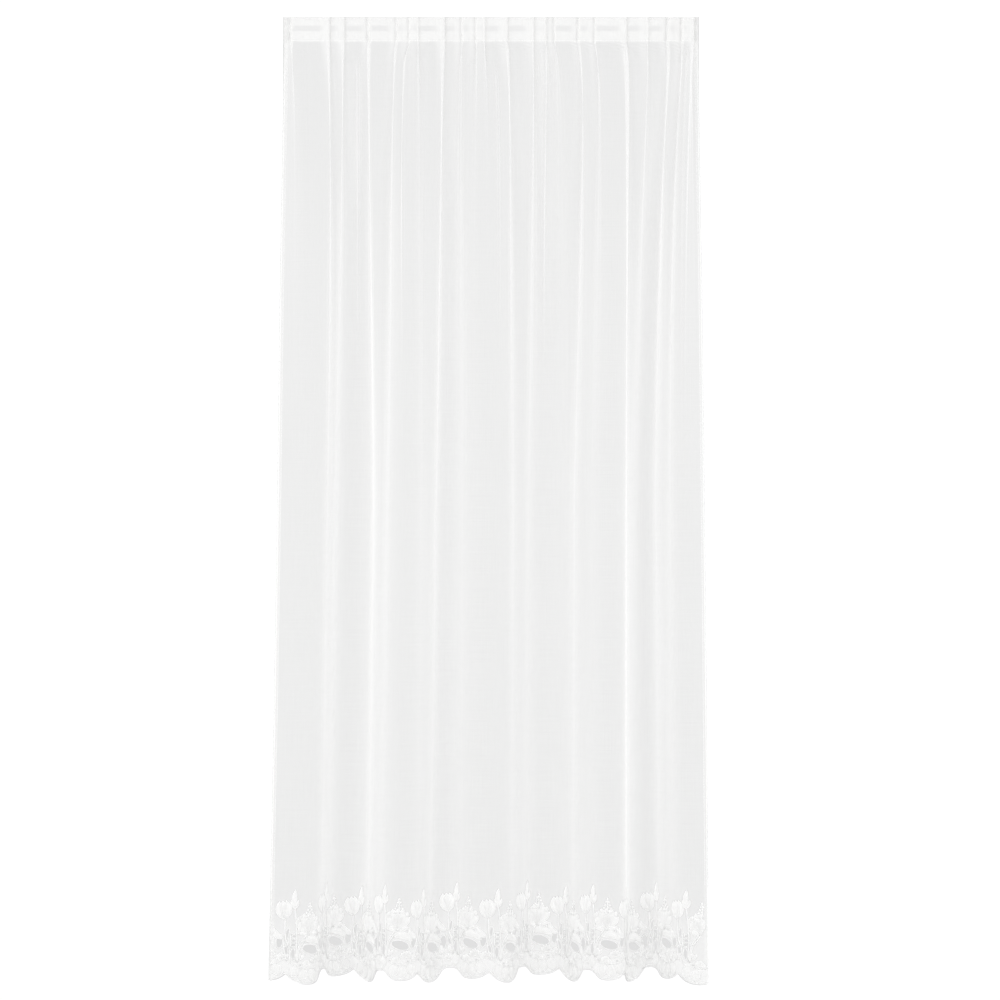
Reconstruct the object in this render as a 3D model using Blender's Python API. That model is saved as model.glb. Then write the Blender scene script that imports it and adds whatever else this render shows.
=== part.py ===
"""A long sheer net curtain with a pleated heading, soft folds and a scalloped lace border.

Sizes are in metres. X runs to the right, Z runs up and the front faces -Y.
The origin is the middle of the top edge, where the curtain is held.
"""

from collections import namedtuple
from math import atan2, cos, pi, radians, sin, sqrt, tau

import bpy
import numpy as np
from mathutils import Vector
from mathutils.geometry import delaunay_2d_cdt

# Driving sizes of the finished curtain
DROP = 2.45
FLAT_WIDTH = 1.55
HEADING = 0.063
CLOTH = 0.001
SIDE_HEM = 0.011
SIDE_HEM_THICKNESS = 0.002
SEAM_GAP = 0.0003

# The heading tape stops a little inside the panel's edges
TAPE_THICKNESS = 0.001
TAPE_INSET = 0.003
TAPE_TOP = 0.001

# How the cloth bends: tight under the stitching, wide near the hem
LAP_ANGLE = radians(115)
HEADING_BEND = 0.003
HEM_BEND = 0.047
BEND_POWER = 0.3
BEND_EASE = 0.02
FADE_LENGTH = 1.07
FADE_POWER = 0.7
WALK_LENGTH = 1.2
LEVEL_LENGTH = 0.45
LEVEL_WINDOW = 0.13

# Each fold of the heading on the flat cloth. Lap is the cloth tucked back, and turn is the side it tucks to.
# Stay is how much of the fold is left far below, and walk is how far it moves along the cloth on the way.
Fold = namedtuple("Fold", "place lap turn stay walk")
FOLDS = (
    Fold(0.034, 0.0165, -1, 0.0, 0.0),
    Fold(0.153, 0.0180, 1, 0.95, -0.012),
    Fold(0.218, 0.0180, 1, 0.9, -0.015),
    Fold(0.313, 0.0190, -1, 1.0, 0.016),
    Fold(0.409, 0.0140, -1, 1.1, -0.004),
    Fold(0.458, 0.0100, -1, 0.0, 0.0),
    Fold(0.493, 0.0100, 1, 1.3, 0.015),
    Fold(0.579, 0.0190, 1, 1.0, 0.003),
    Fold(0.651, 0.0125, -1, 1.0, 0.010),
    Fold(0.704, 0.0110, -1, 0.5, 0.0),
    Fold(0.740, 0.0110, 1, 0.0, 0.0),
    Fold(0.816, 0.0165, 1, 1.0, 0.008),
    Fold(0.907, 0.0150, 1, 1.0, -0.008),
    Fold(0.959, 0.0110, 1, 0.0, 0.0),
    Fold(0.998, 0.0110, -1, 0.7, 0.0),
    Fold(1.081, 0.0165, -1, 1.0, -0.028),
    Fold(1.143, 0.0125, -1, 1.0, -0.014),
    Fold(1.243, 0.0220, 1, 1.05, 0.003),
    Fold(1.329, 0.0125, 1, 1.0, -0.018),
    Fold(1.406, 0.0190, -1, 0.95, -0.030),
    Fold(1.469, 0.0165, -1, 1.0, -0.018),
    Fold(1.520, 0.0180, 1, 0.25, 0.0),
)

# How far the side edges hang from the middle, at each distance down
Edges = namedtuple("Edges", "down left right")
EDGES = (
    Edges(0.00, -0.5275, 0.5275),
    Edges(0.21, -0.5275, 0.5275),
    Edges(0.72, -0.5350, 0.5350),
    Edges(1.22, -0.5400, 0.5400),
    Edges(1.73, -0.5480, 0.5450),
    Edges(2.24, -0.5580, 0.5490),
    Edges(2.45, -0.5620, 0.5500),
)

# The lace border starts here. Its repeat is a deep scallop, a wide arch and a shallow scallop.
BORDER_TOP = 2.20
REPEAT = FLAT_WIDTH / 6.5
FIRST_SCALLOP = 0.10
SHALLOW_RAISE = 0.012
GRID_ACROSS = 0.026
GRID_DOWN = 0.027

# The edge of the hem over one repeat, from the middle of one deep scallop to the next
HemPoint = namedtuple("HemPoint", "along rise")
HEM = (
    HemPoint(0.0000, 0.0000),
    HemPoint(0.0160, 0.0015),
    HemPoint(0.0280, 0.0070),
    HemPoint(0.0370, 0.0175),
    HemPoint(0.0430, 0.0280),
    HemPoint(0.0520, 0.0340),
    HemPoint(0.0660, 0.0355),
    HemPoint(0.0800, 0.0340),
    HemPoint(0.0900, 0.0280),
    HemPoint(0.0980, 0.0190),
    HemPoint(0.1080, 0.0130),
    HemPoint(0.1240, 0.0110),
    HemPoint(0.1420, 0.0120),
    HemPoint(0.1580, 0.0155),
    HemPoint(0.1700, 0.0215),
    HemPoint(0.1790, 0.0290),
    HemPoint(0.1880, 0.0190),
    HemPoint(0.2010, 0.0090),
    HemPoint(0.2190, 0.0020),
)
HEM_NOTCH = 0.0355

# The open gaps of the lace over one scallop, beside its middle and above its lowest point
Gap = namedtuple("Gap", "along up wide tall lean sides")
GAPS = (
    Gap(-0.057, 0.084, 0.009, 0.028, -10, 6),
    Gap(-0.054, 0.130, 0.008, 0.026, 8, 6),
    Gap(-0.040, 0.077, 0.011, 0.030, 2, 6),
    Gap(-0.039, 0.100, 0.012, 0.007, 0, 4),
    Gap(-0.038, 0.111, 0.012, 0.007, 0, 4),
    Gap(-0.037, 0.122, 0.010, 0.007, 0, 4),
    Gap(0.008, 0.088, 0.048, 0.023, 15, 8),
    Gap(0.030, 0.124, 0.012, 0.015, 25, 6),
    Gap(0.045, 0.098, 0.017, 0.036, 6, 6),
    Gap(-0.020, 0.049, 0.008, 0.006, 0, 4),
    Gap(0.028, 0.047, 0.008, 0.006, 0, 4),
)
GAP_MARGIN = 0.006
GAP_FROM_EDGE = 0.016

# Rows of the mesh: tight ones hold every bend of the pleats, and the others are even
TIGHT_ROWS = (0.0, HEADING, 0.09, 0.135)
EVEN_ROWS = (0.19, 0.28, 0.42, 0.64, 0.95, 1.40, BORDER_TOP)
EVEN_COLUMNS = 104
BEND_REACH = 1.3
BEND_STEP = 0.35
WIDEST_REACH = 0.007
LOOSE_BEND = 0.034

# A point of the flat cloth, the way that it faces when hung, and where its middle hangs
Point = namedtuple("Point", "across down facing middle")

WHITE = (0.92, 0.92, 0.91, 1.0)
TAPE_WHITE = (0.88, 0.88, 0.87, 1.0)

LINE = np.linspace(0.0, FLAT_WIDTH, 1551)


def clear_scene():
    for old in list(bpy.data.objects):
        bpy.data.objects.remove(old)


def bend_length(down):
    """How much cloth one bend takes at this height."""
    loose = max(down - HEADING, 0.0)
    whole = (DROP - HEADING + BEND_EASE) ** BEND_POWER - BEND_EASE**BEND_POWER
    share = ((loose + BEND_EASE) ** BEND_POWER - BEND_EASE**BEND_POWER) / whole
    return HEADING_BEND + (HEM_BEND - HEADING_BEND) * share


def fold_middle(fold, down):
    return fold.place + fold.walk * min(1.0, down / WALK_LENGTH)


def cloth_angle(down):
    """The angle of the cloth at each place across it, before it is fitted to the hung width."""
    bend = bend_length(down)
    faded = min(1.0, max(down - HEADING, 0.0) / FADE_LENGTH) ** FADE_POWER
    angle = np.zeros_like(LINE)
    for fold in FOLDS:
        middle = fold_middle(fold, down)
        share = 1.0 + (fold.stay - 1.0) * faded
        starts = np.tanh((LINE - middle + fold.lap / 2) / bend)
        ends = np.tanh((LINE - middle - fold.lap / 2) / bend)
        angle += share * fold.turn * LAP_ANGLE * (starts - ends) / 2
    return angle


def running_sum(values):
    steps = (values[1:] + values[:-1]) / 2 * (LINE[1] - LINE[0])
    return np.concatenate([[0.0], np.cumsum(steps)])


def fitted_angle(angle, wide):
    """Turns every fold by the same share more or less until the cloth spans this width."""
    low, high = 0.6, 3.5
    for _ in range(40):
        middle = (low + high) / 2
        if running_sum(np.cos(middle * angle))[-1] > wide:
            low = middle
        else:
            high = middle
    return low * angle


def slow_part(values):
    """The wide waves of a line, without its pleats."""
    half = int(LEVEL_WINDOW / 2 / (LINE[1] - LINE[0]))
    window = np.hanning(2 * half + 1)
    longer = np.pad(values, half, mode="reflect", reflect_type="odd")
    return np.convolve(longer, window / window.sum(), "valid")


def section(down):
    """X, Y and angle of the cloth across one height."""
    left = np.interp(down, [edge.down for edge in EDGES], [edge.left for edge in EDGES])
    right = np.interp(down, [edge.down for edge in EDGES], [edge.right for edge in EDGES])
    angle = fitted_angle(cloth_angle(down), right - left)
    x = running_sum(np.cos(angle))
    y = running_sum(np.sin(angle))
    x = left + x * (right - left) / x[-1]
    y = y - y.mean() - (y[-1] - y[0]) * (LINE / FLAT_WIDTH - 0.5)
    held = 1.0 - min(1.0, max(down - HEADING, 0.0) / LEVEL_LENGTH)
    return x, y - held * slow_part(y), angle


class Folds:
    """The hanging cloth: sections at a few heights, with straight lines between them."""

    def __init__(self, heights):
        self.heights = sorted(heights)
        self.sections = [section(down) for down in self.heights]

    def place(self, across, down, forward=0.0, facing=None):
        """The point of the room at one place of the flat cloth, moved this far towards the front."""
        above = int(np.searchsorted(self.heights, down, side="right")) - 1
        above = min(max(above, 0), len(self.heights) - 2)
        start, end = self.heights[above], self.heights[above + 1]
        share = min(max((down - start) / (end - start), 0.0), 1.0)
        x, y, angle = (
            (1 - share) * np.interp(across, LINE, upper) + share * np.interp(across, LINE, lower)
            for upper, lower in zip(self.sections[above], self.sections[above + 1])
        )
        angle = angle if facing is None else facing
        return Vector((x + forward * sin(angle), y - forward * cos(angle), -down))

    def facings(self, columns, down):
        """The angle at each point of a row, halfway between the steps on both sides of it."""
        places = [self.place(across, down) for across in columns]
        steps = [atan2(end.y - start.y, end.x - start.x) for start, end in zip(places, places[1:])]
        found = []
        for before, after in zip(steps[:1] + steps, steps + steps[-1:]):
            found.append(before + ((after - before + pi) % tau - pi) / 2)
        return found


def half_thickness(across):
    from_edge = min(across, FLAT_WIDTH - across)
    return (SIDE_HEM_THICKNESS if from_edge < SIDE_HEM + 1e-6 else CLOTH) / 2


def with_side_hems(inner):
    """A row from edge to edge, with the step at each folded side hem."""
    start = [0.0, SIDE_HEM, SIDE_HEM + CLOTH]
    return start + list(inner) + [FLAT_WIDTH - place for place in reversed(start)]


def tight_columns(down):
    """Places across the cloth that follow both bends of each pleat."""
    reach = min(BEND_REACH * bend_length(down), WIDEST_REACH)
    inner = []
    previous_end = SIDE_HEM
    for fold in FOLDS:
        middle = fold_middle(fold, down)
        half = fold.lap / 2
        inner.append((previous_end + middle - half) / 2)
        steps = [half / 3, half - BEND_STEP * reach, half + BEND_STEP * reach, half + reach]
        inner.extend(middle - step for step in reversed(steps))
        inner.extend(middle + step for step in steps)
        previous_end = middle + half
    even = np.linspace(2 * SIDE_HEM, FLAT_WIDTH - 2 * SIDE_HEM, len(inner))
    spread = min(1.0, (bend_length(down) - HEADING_BEND) / LOOSE_BEND)
    return with_side_hems((1 - spread) * np.array(inner) + spread * even)


def even_columns():
    return with_side_hems(np.linspace(2 * SIDE_HEM, FLAT_WIDTH - 2 * SIDE_HEM, EVEN_COLUMNS))


def paired_strip(points, upper, lower):
    """Triangles between two rows of as many points, each square cut along its shorter diagonal."""
    triangles = []
    for a, b, c, d in zip(upper, upper[1:], lower[1:], lower):
        falling = (points[a].middle - points[c].middle).length
        rising = (points[b].middle - points[d].middle).length
        if falling < rising:
            triangles += [(a, b, c), (a, c, d)]
        else:
            triangles += [(a, b, d), (b, c, d)]
    return triangles


def stepped_strip(points, upper, lower):
    """Triangles between two rows of unequal length, taking whichever next point is further left."""
    triangles = []
    top, low = 0, 0
    while top < len(upper) - 1 or low < len(lower) - 1:
        next_top = points[upper[top + 1]].across if top < len(upper) - 1 else FLAT_WIDTH + 1
        next_low = points[lower[low + 1]].across if low < len(lower) - 1 else FLAT_WIDTH + 1
        if next_top <= next_low:
            triangles.append((upper[top], upper[top + 1], lower[low]))
            top += 1
        else:
            triangles.append((upper[top], lower[low + 1], lower[low]))
            low += 1
    return triangles


def add_rows(points, rows, folds):
    """Adds rows of points, and gives the triangles between them and the numbers of the last row."""
    triangles = []
    previous = None
    for down, columns in rows:
        numbers = list(range(len(points), len(points) + len(columns)))
        for across, facing in zip(columns, folds.facings(columns, down)):
            points.append(Point(across, down, facing, folds.place(across, down)))
        if previous is not None:
            joined = paired_strip if len(previous) == len(numbers) else stepped_strip
            triangles += joined(points, previous, numbers)
        previous = numbers
    return triangles, previous


def hem_rise(across):
    along = (across - FIRST_SCALLOP) % REPEAT
    places = [point.along for point in HEM] + [REPEAT]
    rises = [point.rise for point in HEM] + [HEM[0].rise]
    return float(np.interp(along, places, rises))


def hem_columns():
    """Places across the cloth where the hem's edge has a corner, from left to right."""
    found = {0.0, SIDE_HEM, SIDE_HEM + CLOTH}
    found |= {FLAT_WIDTH - place for place in found}
    for repeat in range(-1, 8):
        for point in HEM:
            across = FIRST_SCALLOP + repeat * REPEAT + point.along
            if 2 * SIDE_HEM < across < FLAT_WIDTH - 2 * SIDE_HEM:
                found.add(across)
    return sorted(found)


def gap_corners(gap, across, down):
    """The corners of one gap: a rectangle, or a rounded leaf with more sides."""
    start, stretch = (tau / 8, sqrt(2)) if gap.sides == 4 else (0.0, 1.0)
    lean = radians(gap.lean)
    corners = []
    for number in range(gap.sides):
        turn = start + tau * number / gap.sides
        side = stretch * sin(turn) * gap.wide / 2
        rise = stretch * cos(turn) * gap.tall / 2
        sideways = side * cos(lean) + rise * sin(lean)
        upwards = rise * cos(lean) - side * sin(lean)
        corners.append((across + sideways, down - upwards))
    return corners


def lace_gaps():
    """Each open gap as its middle, its half sizes and its corners on the flat cloth."""
    gaps = []
    for scallop in range(-1, 14):
        for gap in GAPS:
            across = FIRST_SCALLOP + scallop * REPEAT / 2 + gap.along
            down = DROP - gap.up - SHALLOW_RAISE * (scallop % 2)
            reach = gap.wide / 2 + GAP_FROM_EDGE
            if reach < across < FLAT_WIDTH - reach:
                gaps.append((across, down, gap.wide / 2, gap.tall / 2, gap_corners(gap, across, down)))
    return gaps


def near_a_gap(across, down, gaps):
    for middle, level, half_wide, half_tall, _ in gaps:
        sideways = (across - middle) / (half_wide + GAP_MARGIN)
        upright = (down - level) / (half_tall + GAP_MARGIN)
        if sideways**2 + upright**2 < 1.0:
            return True
    return False


def inside(point, corners):
    """Whether a point of the flat cloth lies inside a polygon."""
    across, down = point
    found = False
    for (x1, y1), (x2, y2) in zip(corners, corners[1:] + corners[:1]):
        if (y1 > down) != (y2 > down) and across < (x2 - x1) * (down - y1) / (y2 - y1) + x1:
            found = not found
    return found


def add_border(points, top_row):
    """Adds the lace border under a row of points, with its scalloped edge and its gaps."""
    gaps = lace_gaps()
    outline = list(top_row)
    levels = np.arange(BORDER_TOP + GRID_DOWN, DROP - HEM_NOTCH - GRID_DOWN / 2, GRID_DOWN)

    def add(across, down):
        points.append(Point(float(across), float(down), None, None))
        return len(points) - 1

    right_side = [add(FLAT_WIDTH, down) for down in levels]
    hem = [add(across, DROP - hem_rise(across)) for across in reversed(hem_columns())]
    left_side = [add(0.0, down) for down in reversed(levels)]
    outline = outline + right_side + hem + left_side
    for step in (SIDE_HEM, SIDE_HEM + CLOTH):
        for down in levels:
            add(step, down)
            add(FLAT_WIDTH - step, down)
    for row, down in enumerate(levels):
        shift = GRID_ACROSS / 2 * (row % 2)
        for across in np.arange(2.2 * SIDE_HEM + shift, FLAT_WIDTH - 2.2 * SIDE_HEM, GRID_ACROSS):
            if not near_a_gap(across, down, gaps):
                add(across, down)
    rings = []
    for gap in gaps:
        rings.append([add(*corner) for corner in gap[4]])

    used = sorted(set(outline) | set(range(top_row[-1] + 1, len(points))))
    local = {number: order for order, number in enumerate(used)}
    edges = []
    for ring in [outline] + rings:
        for first, second in zip(ring, ring[1:] + ring[:1]):
            edges.append((local[first], local[second]))
    flat = [Vector((points[number].across, points[number].down)) for number in used]
    corners, _, faces, sources, _, _ = delaunay_2d_cdt(flat, edges, [], 0, 1e-7)
    if len(corners) != len(flat):
        raise ValueError("the border's outline crosses itself or a gap")
    number_of = [used[source[0]] for source in sources]
    hem_line = [(points[number].across, points[number].down) for number in outline]
    triangles = []
    for face in faces:
        triangle = tuple(number_of[corner] for corner in face)
        middle = tuple(sum(points[number][axis] for number in triangle) / 3 for axis in (0, 1))
        in_gap = any(
            abs(middle[0] - gap[0]) < 0.03 and abs(middle[1] - gap[1]) < 0.03 and inside(middle, gap[4])
            for gap in gaps
        )
        if not in_gap and inside(middle, hem_line):
            triangles.append(triangle)
    return triangles


def sheet_object(name, points, triangles, folds, forward_of, colour):
    """A closed sheet: the front, the back and the rim round every free edge."""
    used = sorted({number for triangle in triangles for number in triangle})
    order = {number: place for place, number in enumerate(used)}
    triangles = [tuple(order[number] for number in triangle) for triangle in triangles]
    count = len(used)
    vertices = []
    for side in (1, 0):
        for number in used:
            point = points[number]
            forward = forward_of(point.across)[side]
            vertices.append(folds.place(point.across, point.down, forward, point.facing))
    faces = []
    for a, b, c in triangles:
        faces.append((a, c, b))
        faces.append((a + count, b + count, c + count))
    sides = {(t[i], t[(i + 1) % 3]) for t in triangles for i in range(3)}
    for a, b in sides:
        if (b, a) not in sides:
            faces.append((b + count, a + count, a))
            faces.append((b + count, a, b))
    mesh = bpy.data.meshes.new(name)
    mesh.from_pydata(vertices, [], faces)
    mesh.update()
    made = bpy.data.objects.new(name, mesh)
    bpy.context.scene.collection.objects.link(made)
    mesh.materials.append(cloth_material(name, colour))
    return made


def cloth_material(name, colour):
    material = bpy.data.materials.new(name + "_cloth")
    material.use_nodes = True
    shader = material.node_tree.nodes["Principled BSDF"]
    shader.inputs["Base Color"].default_value = colour
    shader.inputs["Roughness"].default_value = 0.8
    return material


def make_panel(folds):
    """The whole cloth in one piece, with its side hems and its lace border."""
    points = []
    rows = [(down, tight_columns(down)) for down in TIGHT_ROWS]
    rows += [(down, even_columns()) for down in EVEN_ROWS]
    triangles, last = add_rows(points, rows, folds)
    triangles += add_border(points, last)

    def forward_of(across):
        half = half_thickness(across)
        return (-half, half)

    return sheet_object("panel", points, triangles, folds, forward_of, WHITE)


def make_tape(folds):
    """The pleating tape, sewn behind the heading and folded with it."""
    points = []
    rows = []
    for down in (TAPE_TOP, HEADING):
        rows.append((down, [TAPE_INSET] + tight_columns(down)[1:-1] + [FLAT_WIDTH - TAPE_INSET]))
    triangles, _ = add_rows(points, rows, folds)

    def forward_of(across):
        face = -half_thickness(across) - SEAM_GAP
        return (face - TAPE_THICKNESS, face)

    return sheet_object("heading_tape", points, triangles, folds, forward_of, TAPE_WHITE)


def main():
    clear_scene()
    folds = Folds(TIGHT_ROWS + EVEN_ROWS + ((BORDER_TOP + DROP) / 2, DROP))
    make_panel(folds)
    make_tape(folds)


main()
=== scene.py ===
"""A long sheer net curtain with a lace border, laid out as a Blender add-on.

Sizes are in metres. X runs to the right, Z runs up and the front faces -Y.
The cloth is described flat, by places across it and down it, and is then hung in its folds.
"""

from collections import namedtuple
from math import cos, log, pi, radians, sin, tau

import bmesh
import bpy
import numpy as np
from mathutils.geometry import delaunay_2d_cdt
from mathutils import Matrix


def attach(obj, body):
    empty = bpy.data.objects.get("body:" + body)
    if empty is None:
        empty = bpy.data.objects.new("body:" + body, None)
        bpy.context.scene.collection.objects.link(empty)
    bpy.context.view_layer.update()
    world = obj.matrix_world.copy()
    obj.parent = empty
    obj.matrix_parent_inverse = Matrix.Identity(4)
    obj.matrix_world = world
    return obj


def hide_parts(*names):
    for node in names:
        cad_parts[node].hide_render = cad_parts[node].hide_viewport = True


bl_info = {
    "name": "Net curtain with a lace border",
    "version": (1, 0, 0),
    "blender": (4, 5, 0),
    "location": "View3D > Sidebar > Curtain",
    "description": "Builds a sheer pleated net curtain with a scalloped lace border",
    "category": "Add Mesh",
}

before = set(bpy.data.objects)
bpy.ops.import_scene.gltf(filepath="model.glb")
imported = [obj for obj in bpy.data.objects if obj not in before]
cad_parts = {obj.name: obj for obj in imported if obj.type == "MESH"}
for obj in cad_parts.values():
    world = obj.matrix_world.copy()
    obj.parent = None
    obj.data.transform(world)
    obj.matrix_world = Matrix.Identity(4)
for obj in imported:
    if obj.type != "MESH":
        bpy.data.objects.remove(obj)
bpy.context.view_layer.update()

# Driving sizes of the finished curtain, the same as in its solids
DROP = 2.45
FLAT_WIDTH = 1.55
HEADING = 0.063
SIDE_HEM = 0.011
TAPE_INSET = 0.003
TAPE_TOP = 0.001
TAPE_BACK = 0.0018

# How the cloth bends: tight under the stitching, wide near the hem
LAP_ANGLE = radians(115)
HEADING_BEND = 0.003
HEM_BEND = 0.047
BEND_POWER = 0.3
BEND_EASE = 0.02
FADE_LENGTH = 1.07
FADE_POWER = 0.7
WALK_LENGTH = 1.2
LEVEL_LENGTH = 0.45
LEVEL_WINDOW = 0.13

# Each fold of the heading on the flat cloth. Lap is the cloth tucked back, and turn is the side it tucks to.
# Stay is how much of the fold is left far below, and walk is how far it moves along the cloth on the way.
Fold = namedtuple("Fold", "place lap turn stay walk")
FOLDS = (
    Fold(0.034, 0.0165, -1, 0.0, 0.0),
    Fold(0.153, 0.0180, 1, 0.95, -0.012),
    Fold(0.218, 0.0180, 1, 0.9, -0.015),
    Fold(0.313, 0.0190, -1, 1.0, 0.016),
    Fold(0.409, 0.0140, -1, 1.1, -0.004),
    Fold(0.458, 0.0100, -1, 0.0, 0.0),
    Fold(0.493, 0.0100, 1, 1.3, 0.015),
    Fold(0.579, 0.0190, 1, 1.0, 0.003),
    Fold(0.651, 0.0125, -1, 1.0, 0.010),
    Fold(0.704, 0.0110, -1, 0.5, 0.0),
    Fold(0.740, 0.0110, 1, 0.0, 0.0),
    Fold(0.816, 0.0165, 1, 1.0, 0.008),
    Fold(0.907, 0.0150, 1, 1.0, -0.008),
    Fold(0.959, 0.0110, 1, 0.0, 0.0),
    Fold(0.998, 0.0110, -1, 0.7, 0.0),
    Fold(1.081, 0.0165, -1, 1.0, -0.028),
    Fold(1.143, 0.0125, -1, 1.0, -0.014),
    Fold(1.243, 0.0220, 1, 1.05, 0.003),
    Fold(1.329, 0.0125, 1, 1.0, -0.018),
    Fold(1.406, 0.0190, -1, 0.95, -0.030),
    Fold(1.469, 0.0165, -1, 1.0, -0.018),
    Fold(1.520, 0.0180, 1, 0.25, 0.0),
)

# How far the side edges hang from the middle: distance down, left edge and right edge
EDGES = (
    (0.00, -0.5275, 0.5275),
    (0.21, -0.5275, 0.5275),
    (0.72, -0.5350, 0.5350),
    (1.22, -0.5400, 0.5400),
    (1.73, -0.5480, 0.5450),
    (2.24, -0.5580, 0.5490),
    (2.45, -0.5620, 0.5500),
)

# The sharp upright creases that run out of the heading and fade lower down
Crease = namedtuple("Crease", "place start end height width")
CREASES = (
    Crease(0.271, 0.080, 0.98, 0.0095, 0.0042),
    Crease(0.454, 0.066, 0.98, 0.0115, 0.0052),
    Crease(0.773, 0.100, 0.98, 0.0080, 0.0038),
    Crease(0.943, 0.066, 0.98, 0.0115, 0.0052),
    Crease(1.497, 0.066, 1.25, 0.0120, 0.0055),
)
CREASE_GROWTH = 0.05
CREASE_FADE_POWER = 1.5

# Small ripples that the gathering leaves under the heading
Ripple = namedtuple("Ripple", "pitch height start")
RIPPLES = (
    Ripple(0.0137, 0.00050, 0.3),
    Ripple(0.0231, 0.00080, 1.9),
    Ripple(0.0389, 0.00110, 4.1),
)
RIPPLE_START = 0.02
RIPPLE_LENGTH = 0.34

# The layers pressed together beside each fold of the heading and at the side edges
PLEAT_SIDE = 0.020
PLEAT_WIDTH = 0.011
PLEAT_LENGTH = 0.070
EDGE_PLEAT_WIDTH = 0.020
DEEPEST_LAP = max(fold.lap for fold in FOLDS)

# The lace border starts here. Its repeat is a deep scallop, a wide arch and a shallow scallop.
BORDER_TOP = 2.20
REPEAT = FLAT_WIDTH / 6.5
SCALLOP = REPEAT / 2
FIRST_SCALLOP = 0.10
SHALLOW_RAISE = 0.012

# The edge of the hem over one repeat, from the middle of one deep scallop to the next,
# as pairs of how far along and how far above the lowest point
HEM = (
    (0.0000, 0.0000), (0.0160, 0.0015), (0.0280, 0.0070), (0.0370, 0.0175), (0.0430, 0.0280),
    (0.0520, 0.0340), (0.0660, 0.0355), (0.0800, 0.0340), (0.0900, 0.0280), (0.0980, 0.0190),
    (0.1080, 0.0130), (0.1240, 0.0110), (0.1420, 0.0120), (0.1580, 0.0155), (0.1700, 0.0215),
    (0.1790, 0.0290), (0.1880, 0.0190), (0.2010, 0.0090), (0.2190, 0.0020),
)
HEM_SOFTENING = 0.003
HEM_SAMPLES = 5

# The narrow hem along each side edge, as pairs of how far in from the edge and how far behind the net
SIDE_FOLD = ((0.0, 0.0), (0.0006, 0.0007), (0.0015, 0.0010), (0.005, 0.0011), (SIDE_HEM, 0.0008))

# The open gaps of the lace over one scallop, beside its middle and above its lowest point.
# Those of 4 sides are soft rectangles, and the others are rounded leaves.
Gap = namedtuple("Gap", "along up wide tall lean sides")
GAPS = (
    Gap(-0.057, 0.084, 0.009, 0.028, -10, 6),
    Gap(-0.054, 0.130, 0.008, 0.026, 8, 6),
    Gap(-0.040, 0.077, 0.011, 0.030, 2, 6),
    Gap(-0.039, 0.100, 0.012, 0.007, 0, 4),
    Gap(-0.038, 0.111, 0.012, 0.007, 0, 4),
    Gap(-0.037, 0.122, 0.010, 0.007, 0, 4),
    Gap(0.008, 0.088, 0.048, 0.023, 15, 8),
    Gap(0.030, 0.124, 0.012, 0.015, 25, 6),
    Gap(0.045, 0.098, 0.017, 0.036, 6, 6),
    Gap(-0.020, 0.049, 0.008, 0.006, 0, 4),
    Gap(0.028, 0.047, 0.008, 0.006, 0, 4),
)
GAP_FROM_EDGE = 0.016
GAP_POINTS = 16
GAP_REACH = 0.04

# Petals and leaves of one scallop's bouquet, each from its foot. Lean turns it to the right in degrees,
# bow bends it to its own left, and full is how far along it is widest.
Leaf = namedtuple("Leaf", "along up long wide lean bow full")
ROSE = (
    Leaf(-0.004, 0.125, 0.043, 0.025, -40, -0.14, 0.62),
    Leaf(0.004, 0.125, 0.043, 0.025, 40, 0.14, 0.62),
    Leaf(-0.002, 0.124, 0.050, 0.024, -19, -0.10, 0.64),
    Leaf(0.002, 0.124, 0.050, 0.024, 19, 0.10, 0.64),
    Leaf(0.000, 0.126, 0.043, 0.022, 0, 0.00, 0.60),
    Leaf(-0.019, 0.160, 0.013, 0.011, -34, 0.00, 0.50),
    Leaf(-0.010, 0.166, 0.013, 0.011, -14, 0.00, 0.50),
    Leaf(0.000, 0.167, 0.013, 0.011, 0, 0.00, 0.50),
    Leaf(0.010, 0.166, 0.013, 0.011, 14, 0.00, 0.50),
    Leaf(0.019, 0.160, 0.013, 0.011, 34, 0.00, 0.50),
)
TULIP = (
    Leaf(-0.061, 0.165, 0.048, 0.017, -18, 0.16, 0.54),
    Leaf(-0.061, 0.165, 0.048, 0.017, 2, -0.16, 0.54),
    Leaf(-0.061, 0.165, 0.047, 0.020, -8, 0.00, 0.60),
    Leaf(-0.062, 0.171, 0.028, 0.013, -8, 0.00, 0.56),
)
BUD = (
    Leaf(-0.037, 0.197, 0.043, 0.012, 2, 0.05, 0.40),
    Leaf(-0.037, 0.192, 0.024, 0.006, -20, 0.10, 0.45),
    Leaf(-0.037, 0.192, 0.024, 0.006, 22, -0.10, 0.45),
)
GREENERY = (
    Leaf(-0.018, 0.112, 0.062, 0.017, 104, 0.15, 0.45),
    Leaf(-0.066, 0.116, 0.038, 0.014, -42, 0.12, 0.45),
    Leaf(-0.061, 0.166, 0.020, 0.007, -66, -0.10, 0.45),
    Leaf(-0.061, 0.166, 0.020, 0.007, 48, 0.10, 0.45),
    Leaf(-0.004, 0.123, 0.028, 0.010, -74, -0.12, 0.45),
    Leaf(0.004, 0.123, 0.028, 0.010, 74, 0.12, 0.45),
    Leaf(-0.033, 0.150, 0.030, 0.010, 38, 0.10, 0.45),
    Leaf(-0.032, 0.128, 0.026, 0.009, 30, -0.10, 0.45),
)

# Fans of narrow ribs: where each opens from, its ribs, how far they spread to each side, and their size
Fan = namedtuple("Fan", "along up ribs spread long wide")
FANS = (
    Fan(0.024, 0.056, 7, 72, 0.0185, 0.0075),
    Fan(0.0596, 0.052, 5, 62, 0.0165, 0.0070),
    Fan(-0.022, 0.062, 3, 40, 0.0180, 0.0065),
)

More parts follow.
